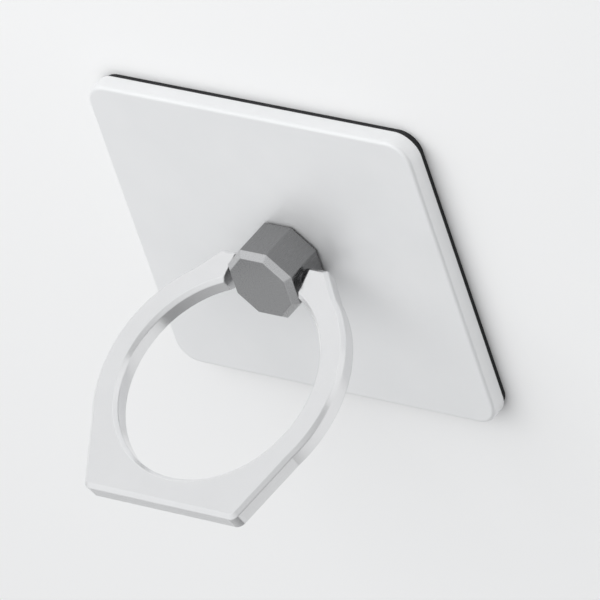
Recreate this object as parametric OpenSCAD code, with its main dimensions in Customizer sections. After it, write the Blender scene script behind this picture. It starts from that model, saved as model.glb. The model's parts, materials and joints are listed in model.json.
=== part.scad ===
// Finger-ring phone holder: a metal plate on an adhesive pad, an octagonal hub that turns in
// the plate, and a folding ring with a flat foot that props up what the pad is stuck to.
// The origin is the centre of the pad's sticky face, with +Z out of the plate's front,
// X along the hinge and the ring's foot towards -Y.

/* [Plate and pad] */
// Width of the plate, along X
plate_w = 40; // [36:0.5:50]
// Height of the plate, along Y
plate_h = 35; // [32:0.5:50]
// Thickness of the plate
plate_t = 1.8; // [1.7:0.1:3]
// Radius of the plate's corners
corner_r = 2.5; // [1.5:0.1:6]
// Rounding of the plate's front edge
edge_r = 0.4; // [0.2:0.05:0.6]
// Thickness of the adhesive pad
pad_t = 0.8; // [0.4:0.1:1.5]
// Distance from the plate's edge in to the pad's edge
pad_inset = 0.35; // [0.1:0.05:1]

/* [Pocket behind the plate] */
// Thickness of the web that the hub turns in
web_t = 0.7; // [0.5:0.05:0.8]
// Radius of the pocket
pocket_r = 5; // [4.6:0.1:7]
// Thickness of the disc that closes the pocket
cover_t = 0.25; // [0.15:0.05:0.35]
// Width of the ledge that the disc lies on
cover_ledge = 1.5; // [0.5:0.1:3]

/* [Hub] */
// Width of the hub across its flats
hub_flats = 7.9; // [7:0.1:9]
// Height of the hub's face above the plate
hub_h = 5.2; // [4.6:0.05:7]
// Bevel round the hub's face
hub_bevel = 0.6; // [0.2:0.05:1]
// Radius of the stem below the hub
stem_r = 1.9; // [1.4:0.05:2.2]
// Wall of the bush that the stem turns in
stem_bush_wall = 0.5; // [0.3:0.05:0.8]
// Radius of the washer under the hub
thrust_r = 3.5; // [3:0.1:3.8]
// Thickness of the washer under the hub
thrust_t = 0.2; // [0.1:0.05:0.4]
// Radius of the collar riveted to the stem
collar_r = 3.3; // [2.8:0.1:4]
// Thickness of the collar
collar_t = 0.3; // [0.2:0.05:0.35]
// Radius of the spring washer
spring_r = 4.2; // [3.6:0.1:4.4]
// Thickness of the spring washer's metal
spring_t = 0.2; // [0.1:0.05:0.25]

/* [Ring] */
// Inside diameter of the finger loop
loop_d = 22.2; // [18:0.2:26]
// Width of the ring's rim
rim_w = 2.9; // [2.4:0.1:4]
// Thickness of the ring
ring_t = 2.3; // [1.8:0.1:3]
// How far the flat of the foot stands out past the round rim
foot_step = 0.05; // [0.05:0.05:2]
// Length of the flat foot
foot_w = 18.6; // [14:0.2:22]
// Radius of the foot's two corners
foot_corner = 1; // [0.8:0.1:2]
// How far the foot's straight sides dip inside the round rim where they meet it
side_dip = 0.05; // [0.02:0.01:0.2]
// Bevel along the ring's edges
ring_bevel = 0.4; // [0.1:0.05:0.6]
// Angle between the plate and the ring, 0 and 180 being flat on the plate
ring_angle = 67.5; // [0:2.5:180]

/* [Hinge] */
// Height of the hinge axis above the plate
hinge_h = 2.6; // [2.1:0.05:3]
// Distance from the hinge axis to the loop's near edge
loop_start = 1.55; // [1:0.05:2]
// Space between the hub's flats and the ends of the ring's arms
arm_space = 0.7; // [0.5:0.05:1.5]
// Length of the lug's flat back at each arm end
lug_len = 1.9; // [1.6:0.1:3]
// How far the lug reaches past the hinge axis
lug_reach = 0.8; // [0.75:0.05:1.3]
// Distance from the hinge axis to where the lug's slanting side runs into the rim
lug_run = 2; // [1.6:0.1:3]
// Radius of the hinge pins
pin_r = 0.5; // [0.4:0.05:0.7]
// Length of the pin pressed into the lug
pin_grip = 1.8; // [1:0.1:2]
// Wall of the bush that each pin turns in
pin_bush_wall = 0.4; // [0.2:0.05:0.5]
// Length of the pin bush
pin_bush_len = 2.2; // [1.5:0.1:2.6]

/* [Hidden] */
$fn = 64;

// Clearances of the running fits, across the radius and between faces
stem_fit = 0.05;
pin_fit = 0.03;
face_gap = 0.03;
end_gap = 0.1;
// Overrun of a cutting tool past the face that it opens
over = 1;

// Heights above the pad's sticky face
plate_top = pad_t + plate_t;
web_z = plate_top - web_t;
cover_top = pad_t + cover_t;
collar_z = cover_top + end_gap;
spring_z = collar_z + collar_t;
spring_top = web_z - face_gap;
hub_z = plate_top + face_gap + thrust_t;
hub_top = plate_top + hub_h;
hinge_z = plate_top + hinge_h;

// Stem, bushes and pins
stem_bore_r = stem_r + stem_fit;
stem_bush_r = stem_bore_r + stem_bush_wall;
cover_r = pocket_r + cover_ledge;
pin_bore_r = pin_r + pin_fit;
pin_bush_r = pin_bore_r + pin_bush_wall;
hub_sides = 8;
flat_x = hub_flats / 2;
arm_x = flat_x + arm_space;

// Ring, in its own plane: the hinge axis is y = 0 and the foot is towards +y
loop_r = loop_d / 2;
rim_r = loop_r + rim_w;
loop_y = loop_start + loop_r;
foot_x = foot_w / 2;
foot_y = rim_r + foot_step;

// Where the foot's straight sides start, tangent to a circle just inside the round rim
side_r = rim_r - side_dip;
side_angle = atan2(foot_y, foot_x) - acos(side_r / norm([foot_x, foot_y]));
side_x = side_r * cos(side_angle);
side_y = side_r * sin(side_angle);

// Centres of the foot's round corners, and how far inside the corners the straight edges dip
corner_dip = 0.01;
corner_in = foot_corner - corner_dip;
foot_lean = atan2(side_x - foot_x, foot_y - side_y);
corner_x = foot_x - corner_in * (1 - sin(foot_lean)) / cos(foot_lean);
corner_y = foot_y - corner_in;

// Where the lug's slanting side ends, just inside the round rim
lug_run_x = sqrt(pow(side_r, 2) - pow(loop_y - lug_run, 2));

// Rounded rectangle, centred
module rounded_rect(w, h, r) {
    square([w, h - 2 * r], center = true);
    square([w - 2 * r, h], center = true);
    for (x = [-1, 1], y = [-1, 1])
        translate([x * (w / 2 - r), y * (h / 2 - r)]) circle(r);
}

// Section of a slab of width w whose two upper corners are rounded
module slab_section(w, t, e) {
    translate([-w / 2, 0]) square([w, t - e]);
    translate([e - w / 2, 0]) square([w - 2 * e, t]);
    for (x = [-1, 1])
        translate([x * (w / 2 - e), t - e]) circle(e);
}

// Slab with corners of radius r and a front edge rounded by e
module rounded_slab(w, h, t, r, e) {
    rotate([90, 0, 0])
        linear_extrude(h - 2 * r, center = true) slab_section(w, t, e);
    rotate([90, 0, 90])
        linear_extrude(w - 2 * r, center = true) slab_section(h, t, e);
    for (x = [-1, 1], y = [-1, 1])
        translate([x * (w / 2 - r), y * (h / 2 - r), 0])
            rotate_extrude() {
                square([r, t - e]);
                square([r - e, t]);
                translate([r - e, t - e]) circle(e);
            }
}

// Flat washer or tube standing on z = 0
module tube(outer, inner, h) {
    difference() {
        cylinder(r = outer, h = h);
        translate([0, 0, -over]) cylinder(r = inner, h = h + 2 * over);
    }
}

// Bar that cuts a 45 degree bevel of width b along an edge through the origin, along X
module bevel_bar(length, b) {
    rotate([45, 0, 0]) cube([length, b * sqrt(2), b * sqrt(2)], center = true);
}

// Flat piece of the ring with an outline of points, bevelled on the listed sides
module bevelled_piece(points, sides) {
    difference() {
        linear_extrude(ring_t, center = true) polygon(points);
        for (i = sides, face = [-1, 1]) {
            from = points[i];
            to = points[(i + 1) % len(points)];
            middle = (from + to) / 2;
            run = to - from;
            translate([middle[0], middle[1], face * ring_t / 2])
                rotate(atan2(run[1], run[0])) bevel_bar(norm(run) + 2 * over, ring_bevel);
        }
    }
}

// Round disc as thick as the ring, bevelled on both faces
module bevelled_disc(r) {
    wall = ring_t - 2 * ring_bevel;
    cylinder(r = r, h = wall, center = true);
    for (face = [0, 1])
        mirror([0, 0, face]) translate([0, 0, wall / 2])
            cylinder(r1 = r, r2 = r - ring_bevel, h = ring_bevel);
}

// Finger loop as a cutting tool, flared at both faces
module loop_cut() {
    cylinder(r = loop_r, h = ring_t + 2 * over, center = true);
    for (face = [0, 1])
        mirror([0, 0, face]) translate([0, 0, ring_t / 2 - ring_bevel])
            cylinder(r1 = loop_r, r2 = loop_r + ring_bevel + over, h = ring_bevel + over);
}

// Straight sides that run on from just inside the round rim to the flat foot, and its corners
module foot_piece() {
    turn_x = corner_x + corner_in * cos(foot_lean);
    turn_y = corner_y + corner_in * sin(foot_lean);
    bevelled_piece([[side_x, side_y], [turn_x, turn_y], [corner_x, corner_y], [corner_x, foot_y],
                    [-corner_x, foot_y], [-corner_x, corner_y], [-turn_x, turn_y],
                    [-side_x, side_y]], [0, 3, 6]);
    for (x = [-1, 1])
        translate([x * corner_x, corner_y, 0]) bevelled_disc(foot_corner);
}

// Lug at the end of the right arm, which holds the hinge pin, with a side that slants to the rim
module lug_piece() {
    inner_x = arm_x - over;
    bevelled_piece([[inner_x, loop_start], [inner_x, -lug_reach], [arm_x + lug_len, -lug_reach],
                    [lug_run_x, lug_run]], [1, 2]);
}

// Ring lying in its own plane
module flat_ring() {
    difference() {
        union() {
            translate([0, loop_y, 0]) {
                bevelled_disc(rim_r);
                foot_piece();
            }
            lug_piece();
            mirror([1, 0, 0]) lug_piece();
        }
        translate([0, loop_y, 0]) loop_cut();
        translate([-arm_x, -rim_w, -ring_t])
            cube([2 * arm_x, rim_w + loop_y, 2 * ring_t]);
        for (side = [0, 1])
            mirror([side, 0, 0]) translate([arm_x - over, 0, 0])
                rotate([0, 90, 0]) cylinder(r = pin_r, h = pin_grip + over);
    }
}

// Pin from inside its bush to the bottom of its hole in the lug, on the right
module hinge_pin() {
    inner_x = flat_x - pin_bush_len + end_gap;
    translate([inner_x, 0, hinge_z]) rotate([0, 90, 0])
        cylinder(r = pin_r, h = arm_x + pin_grip - inner_x);
}

// Bush pressed into the hub from its right flat
module pin_bush() {
    translate([flat_x - pin_bush_len, 0, hinge_z]) rotate([0, 90, 0])
        tube(pin_bush_r, pin_bore_r, pin_bush_len);
}

module adhesive_pad() {
    color([0.12, 0.12, 0.13])
        linear_extrude(pad_t)
            rounded_rect(plate_w - 2 * pad_inset, plate_h - 2 * pad_inset, corner_r - pad_inset);
}

module base_plate() {
    color([0.87, 0.88, 0.89])
        difference() {
            translate([0, 0, pad_t]) rounded_slab(plate_w, plate_h, plate_t, corner_r, edge_r);
            translate([0, 0, pad_t - over]) cylinder(r = cover_r, h = cover_t + over);
            translate([0, 0, pad_t]) cylinder(r = pocket_r, h = plate_t - web_t);
            translate([0, 0, pad_t]) cylinder(r = stem_bush_r, h = plate_t + over);
        }
}

module cover_disc() {
    color([0.7, 0.71, 0.72])
        translate([0, 0, pad_t]) cylinder(r = cover_r, h = cover_t);
}

module stem_bush() {
    color([0.93, 0.93, 0.9])
        translate([0, 0, web_z]) tube(stem_bush_r, stem_bore_r, web_t);
}

// Octagonal head with a flat towards each arm and a bevel round its face
module hub_head() {
    corner = 1 / cos(180 / hub_sides);
    wall = hub_top - hub_bevel - hub_z;
    rotate(180 / hub_sides) {
        cylinder(r = flat_x * corner, h = wall, $fn = hub_sides);
        translate([0, 0, wall])
            cylinder(r1 = flat_x * corner, r2 = (flat_x - hub_bevel) * corner, h = hub_bevel,
                     $fn = hub_sides);
    }
}

module hub_block() {
    color([0.5, 0.5, 0.52])
        difference() {
            union() {
                translate([0, 0, hub_z]) hub_head();
                translate([0, 0, collar_z]) cylinder(r = stem_r, h = hub_z - collar_z + over);
            }
            for (side = [0, 1])
                mirror([side, 0, 0]) translate([flat_x - pin_bush_len, 0, hinge_z])
                    rotate([0, 90, 0]) cylinder(r = pin_bush_r, h = pin_bush_len + over);
        }
}

module thrust_washer() {
    color([0.2, 0.2, 0.21])
        translate([0, 0, plate_top + face_gap]) tube(thrust_r, stem_bore_r, thrust_t);
}

// Dished washer that presses up on the web from the collar
module spring_washer() {
    color([0.6, 0.6, 0.62])
        rotate_extrude()
            polygon([[stem_bore_r, spring_z], [stem_bore_r, spring_z + spring_t],
                     [spring_r, spring_top], [spring_r, spring_top - spring_t]]);
}

module riveted_collar() {
    color([0.65, 0.65, 0.67])
        translate([0, 0, collar_z]) tube(collar_r, stem_r, collar_t);
}

module pin_bush_left() {
    color([0.2, 0.2, 0.21]) mirror([1, 0, 0]) pin_bush();
}

module pin_bush_right() {
    color([0.2, 0.2, 0.21]) pin_bush();
}

module ring() {
    color([0.85, 0.86, 0.87])
        translate([0, 0, hinge_z]) rotate([180 - ring_angle, 0, 0]) flat_ring();
}

module hinge_pin_left() {
    color([0.6, 0.6, 0.62]) mirror([1, 0, 0]) hinge_pin();
}

module hinge_pin_right() {
    color([0.6, 0.6, 0.62]) hinge_pin();
}

adhesive_pad();
base_plate();
cover_disc();
stem_bush();
hub_block();
thrust_washer();
spring_washer();
riveted_collar();
pin_bush_left();
pin_bush_right();
ring();
hinge_pin_left();
hinge_pin_right();
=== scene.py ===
"""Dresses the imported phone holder: metal finishes, pale floor, studio light and the photograph's view."""
import json
import math

import bpy
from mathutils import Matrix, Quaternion, Vector


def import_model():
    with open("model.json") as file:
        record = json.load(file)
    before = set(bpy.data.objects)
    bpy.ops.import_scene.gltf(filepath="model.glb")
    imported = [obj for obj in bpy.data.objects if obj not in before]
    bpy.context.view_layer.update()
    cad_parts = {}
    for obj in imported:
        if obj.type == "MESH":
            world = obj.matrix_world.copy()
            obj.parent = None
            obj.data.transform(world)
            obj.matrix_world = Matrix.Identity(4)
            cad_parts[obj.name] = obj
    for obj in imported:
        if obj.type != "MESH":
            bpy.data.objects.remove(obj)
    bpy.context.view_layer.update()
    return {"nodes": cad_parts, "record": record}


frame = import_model()
MM = 0.001

# Camera: where the photograph was taken from, turned on its own axis as the photograph is
CAMERA_PLACE = Vector((647.1, 612.7, 614.8)) * MM
CAMERA_TARGET = Vector((2.8, -2.4, 6.0)) * MM
CAMERA_ROLL = math.radians(-137.6)
CAMERA_NEAR = 0.01
CAMERA_FAR = 20
PHOTO_LENS = 184
FRAMING = 3.6

# Surround: its colour, and its level away from its bright side and towards it
SURROUND_COLOUR = (0.98, 0.99, 1.0)
SURROUND_LOW, SURROUND_HIGH = 0.12, 0.92
BRIGHT_SIDE = (-0.5, 0.5, 0.7)

# Lamps: places and sizes in metres, powers in watts
KEY_PLACE = (-0.12, 0.5, 0.72)
KEY_WIDTH, KEY_HEIGHT = 1.6, 0.7
KEY_POWER = 3.6
EDGE_PLACE = (-0.05, 0.1, 0.09)
EDGE_SIZE = 0.08
EDGE_POWER = 0.022

# Floor: half its width in metres
FLOOR_HALF = 3.0

# The span that most of a noise texture's values lie in
NOISE_LOW, NOISE_HIGH = 0.3, 0.7

# Rays that soften each edge in a bump
EDGE_SAMPLES = 6


# Node helpers
def new_material(name):
    """A material with an empty tree, its shader and its output."""
    material = bpy.data.materials.new(name)
    material.use_nodes = True
    nodes = material.node_tree.nodes
    nodes.clear()
    shader = nodes.new("ShaderNodeBsdfPrincipled")
    output = nodes.new("ShaderNodeOutputMaterial")
    material.node_tree.links.new(shader.outputs["BSDF"], output.inputs["Surface"])
    return material, shader


def add(material, kind, **inputs):
    """A node of that kind, with its inputs set by name."""
    node = material.node_tree.nodes.new(kind)
    for name, value in inputs.items():
        node.inputs[name].default_value = value
    return node


def link(material, source, target):
    """Joins an output socket to an input socket."""
    material.node_tree.links.new(source, target)


def noise(material, size, detail=3, stretch=(1, 1, 1)):
    """Noise over the object, from 0 to 1, with features of about that size in metres."""
    place = add(material, "ShaderNodeTexCoord")
    mapping = add(material, "ShaderNodeMapping", Scale=stretch)
    texture = add(material, "ShaderNodeTexNoise", Scale=1 / size, Detail=detail)
    link(material, place.outputs["Object"], mapping.inputs["Vector"])
    link(material, mapping.outputs["Vector"], texture.inputs["Vector"])
    return texture.outputs["Fac"]


def ranged(material, source, low, high):
    """A noise value spread between two numbers."""
    node = add(material, "ShaderNodeMapRange")
    ends = (("From Min", NOISE_LOW), ("From Max", NOISE_HIGH), ("To Min", low), ("To Max", high))
    for name, value in ends:
        node.inputs[name].default_value = value
    link(material, source, node.inputs["Value"])
    return node.outputs["Result"]


def tint(material, shader, factor, dark, light):
    """Colours the shader between two tones, by a factor."""
    node = add(material, "ShaderNodeMix")
    node.data_type = "RGBA"
    node.inputs["A"].default_value = (*dark, 1)
    node.inputs["B"].default_value = (*light, 1)
    link(material, factor, node.inputs["Factor"])
    link(material, node.outputs["Result"], shader.inputs["Base Color"])


def roughen(material, shader, source, low, high):
    """Spreads the shader's roughness between two values, by a noise value."""
    link(material, ranged(material, source, low, high), shader.inputs["Roughness"])


def bump(material, shader, height, depth, edge=0.0):
    """Raises the surface by a height from 0 to 1 times a depth in metres, over softened edges."""
    node = add(material, "ShaderNodeBump", Distance=depth)
    link(material, height, node.inputs["Height"])
    if edge:
        soft = add(material, "ShaderNodeBevel", Radius=edge)
        soft.samples = EDGE_SAMPLES
        link(material, soft.outputs["Normal"], node.inputs["Normal"])
    link(material, node.outputs["Normal"], shader.inputs["Normal"])


# Materials
def plate_metal():
    """Satin silver: fine blasted grain with a slow change of sheen."""
    material, shader = new_material("plate_metal")
    shader.inputs["Metallic"].default_value = 0.5
    sheen = ranged(material, noise(material, 9 * MM, detail=2), low=0, high=1)
    tint(material, shader, sheen, dark=(0.87, 0.875, 0.88), light=(0.9, 0.903, 0.907))
    roughen(material, shader, noise(material, 0.6 * MM), low=0.4, high=0.48)
    bump(material, shader, noise(material, 0.09 * MM, detail=2), depth=0.002 * MM, edge=0.12 * MM)
    return material


def ring_metal():
    """Bright plating over a polished casting, with a very faint grain."""
    material, shader = new_material("ring_metal")
    shader.inputs["Metallic"].default_value = 0.9
    sheen = ranged(material, noise(material, 4 * MM, detail=2), low=0, high=1)
    tint(material, shader, sheen, dark=(0.875, 0.875, 0.88), light=(0.89, 0.89, 0.895))
    roughen(material, shader, noise(material, 1.5 * MM), low=0.17, high=0.185)
    bump(material, shader, noise(material, 0.5 * MM, detail=1), depth=0.0002 * MM, edge=0.18 * MM)
    return material


def painted_light_by_slope(material, stops):
    """Painted light: a grey that depends on how far a face points up, from 0 for upright to 1 for flat,
    giving painted shade and a painted highlight at its stops.
    """
    parts = add(material, "ShaderNodeSeparateXYZ")
    link(material, add(material, "ShaderNodeTexCoord").outputs["Normal"], parts.inputs["Vector"])
    ramp = add(material, "ShaderNodeValToRGB")
    elements = ramp.color_ramp.elements
    while len(elements) < len(stops):
        elements.new(0.5)
    cool = 1.01
    for element, (slope, grey) in zip(elements, stops):
        element.position = slope
        element.color = (grey, grey, cool * grey, 1)
    link(material, parts.outputs["Z"], ramp.inputs["Fac"])
    return ramp.outputs["Color"]


def hub_metal():
    """Dark nickel brushed upright on its sides and satin on its face; the sides are darkened by painted
    shade and the bevel is brightened by a painted highlight.
    """
    material, shader = new_material("hub_metal")
    shader.inputs["Metallic"].default_value = 1.0
    # Greys by slope: the dark upright sides are painted shade and the bright bevel is a painted highlight.
    side, bevel, face = 0.255, 0.6, 0.37
    stops = ((0.3, side), (0.5, bevel), (0.85, bevel), (0.97, face))
    link(material, painted_light_by_slope(material, stops), shader.inputs["Base Color"])
    brushing = noise(material, 0.06 * MM, detail=2, stretch=(1, 1, 0.06))
    roughen(material, shader, brushing, low=0.24, high=0.32)
    bump(material, shader, brushing, depth=0.0005 * MM, edge=0.2 * MM)
    return material


def steel():
    """Plain bright steel of the pins and washers, with turning marks."""
    material, shader = new_material("steel")
    shader.inputs["Metallic"].default_value = 1.0
    marks = noise(material, 0.15 * MM, stretch=(1, 0.2, 1))
    tint(material, shader, marks, dark=(0.5, 0.5, 0.515), light=(0.62, 0.62, 0.63))
    roughen(material, shader, marks, low=0.22, high=0.34)
    bump(material, shader, marks, depth=0.003 * MM)
    return material


def pad_foam():
    """Matt black foam tape with fine closed cells."""
    material, shader = new_material("pad_foam")
    cells = noise(material, 0.14 * MM, detail=4)
    tint(material, shader, cells, dark=(0.012, 0.012, 0.013), light=(0.03, 0.03, 0.032))
    roughen(material, shader, cells, low=0.75, high=0.95)
    bump(material, shader, cells, depth=0.03 * MM)
    return material


def nylon(name, dark, light):
    """Moulded nylon with a slight mottle."""
    material, shader = new_material(name)
    mottle = noise(material, 0.3 * MM)
    tint(material, shader, mottle, dark, light)
    roughen(material, shader, mottle, low=0.42, high=0.55)
    bump(material, shader, mottle, depth=0.006 * MM)
    return material


def dress_nodes():
    """Gives each CAD node the finish of its slot."""
    finishes = {
        "plate_metal": plate_metal(),
        "ring_metal": ring_metal(),
        "hub_metal": hub_metal(),
        "steel": steel(),
        "pad_foam": pad_foam(),
        "nylon": nylon("nylon", dark=(0.74, 0.74, 0.7), light=(0.82, 0.82, 0.79)),
        "black_nylon": nylon("black_nylon", dark=(0.02, 0.02, 0.021), light=(0.035, 0.035, 0.037)),
    }
    slots = {part["node"]: part["material_slot"] for part in frame["record"]["subparts"]}
    for name, node in frame["nodes"].items():
        node.data.materials.clear()
        node.data.materials.append(finishes[slots[name]])


# Stage
def floor():
    """A wide pale floor that the pad lies on."""
    mesh = bpy.data.meshes.new("floor")
    corners = [(x * FLOOR_HALF, y * FLOOR_HALF, 0) for x, y in ((-1, -1), (1, -1), (1, 1), (-1, 1))]
    mesh.from_pydata(corners, [], [(0, 1, 2, 3)])
    plane = bpy.data.objects.new("floor", mesh)
    bpy.context.scene.collection.objects.link(plane)
    material, shader = new_material("floor")
    patches = ranged(material, noise(material, 0.3, detail=2), low=0, high=1)
    tint(material, shader, patches, dark=(0.86, 0.86, 0.86), light=(0.88, 0.88, 0.88))
    shader.inputs["Roughness"].default_value = 0.7
    shader.inputs["Specular IOR Level"].default_value = 0.2
    mesh.materials.append(material)


def softbox(name, place, width, height, power):
    """A rectangular lamp that faces the object and is left out of what the metal mirrors."""
    data = bpy.data.lights.new(name, "AREA")
    data.shape = "RECTANGLE"
    data.size, data.size_y = width, height
    data.energy = power
    lamp = bpy.data.objects.new(name, data)
    lamp.location = Vector(place)
    lamp.rotation_mode = "QUATERNION"
    lamp.rotation_quaternion = lamp.location.to_track_quat("Z", "Y")
    lamp.visible_glossy = False
    bpy.context.scene.collection.objects.link(lamp)


def lights():
    """The photograph's light: a broad lamp high over the plate's top edge, and a small one close to it."""
    softbox("key", KEY_PLACE, KEY_WIDTH, KEY_HEIGHT, KEY_POWER)
    softbox("edge", EDGE_PLACE, EDGE_SIZE, EDGE_SIZE, EDGE_POWER)


def world():
    """A pale surround, brighter towards the lamps and dimmer on the side away from them."""
    surround = bpy.data.worlds.new("surround")
    bpy.context.scene.world = surround
    surround.use_nodes = True
    tree = surround.node_tree
    background = tree.nodes["Background"]
    background.inputs["Color"].default_value = (*SURROUND_COLOUR, 1)
    place = tree.nodes.new("ShaderNodeTexCoord")
    towards = tree.nodes.new("ShaderNodeVectorMath")
    towards.operation = "DOT_PRODUCT"
    towards.inputs[1].default_value = BRIGHT_SIDE
    tree.links.new(place.outputs["Generated"], towards.inputs[0])
    level = tree.nodes.new("ShaderNodeMapRange")
    for name, value in (("From Min", -1), ("To Min", SURROUND_LOW), ("To Max", SURROUND_HIGH)):
        level.inputs[name].default_value = value
    tree.links.new(towards.outputs["Value"], level.inputs["Value"])
    tree.links.new(level.outputs["Result"], background.inputs["Strength"])


def camera():
    """The photograph's place and roll, aimed and framed on the holder alone."""
    data = bpy.data.cameras.new("camera")
    data.lens = PHOTO_LENS * FRAMING
    data.clip_start, data.clip_end = CAMERA_NEAR, CAMERA_FAR
    eye = bpy.data.objects.new("camera", data)
    bpy.context.scene.collection.objects.link(eye)
    eye.location = CAMERA_PLACE
    eye.rotation_mode = "QUATERNION"
    level = (CAMERA_PLACE - CAMERA_TARGET).to_track_quat("Z", "Y")
    eye.rotation_quaternion = level @ Quaternion((0, 0, 1), CAMERA_ROLL)
    bpy.context.scene.camera = eye


dress_nodes()
floor()
world()
lights()
camera()
bpy.context.scene.view_settings.view_transform = "Standard"
